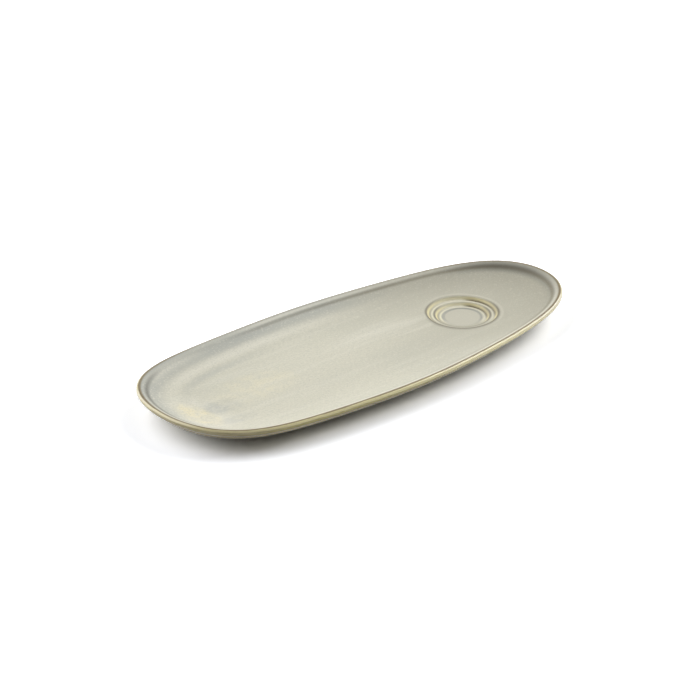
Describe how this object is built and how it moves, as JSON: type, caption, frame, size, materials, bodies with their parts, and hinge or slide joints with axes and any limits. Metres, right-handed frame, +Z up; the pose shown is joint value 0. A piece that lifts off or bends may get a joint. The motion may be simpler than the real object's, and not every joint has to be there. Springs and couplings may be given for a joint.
{
  "type": "olive dish",
  "caption": "Long egg-shaped stoneware serving dish with a low rounded rim, a gently dished face and a stepped round well near one end that seats a small bowl.",
  "frame": {"origin": "on the table plane, under the middle of the dish's plan", "axes": "+X along the length towards the end with the well, +Z up"},
  "size_m": [0.334, 0.1394, 0.0181],
  "materials": {
    "stoneware_body": "bare fired stoneware, matt",
    "face_glaze": "satin reactive glaze, grey cream with faint streaks",
    "rim_glaze": "glossy olive and honey glaze that breaks to brown at the crest",
    "base_glaze": "satin grey olive glaze"
  },
  "bodies": {
    "root": {"stoneware_body": "stoneware_body", "face_glaze": "face_glaze", "rim_glaze": "rim_glaze", "base_glaze": "base_glaze"}
  },
  "joints": []
}
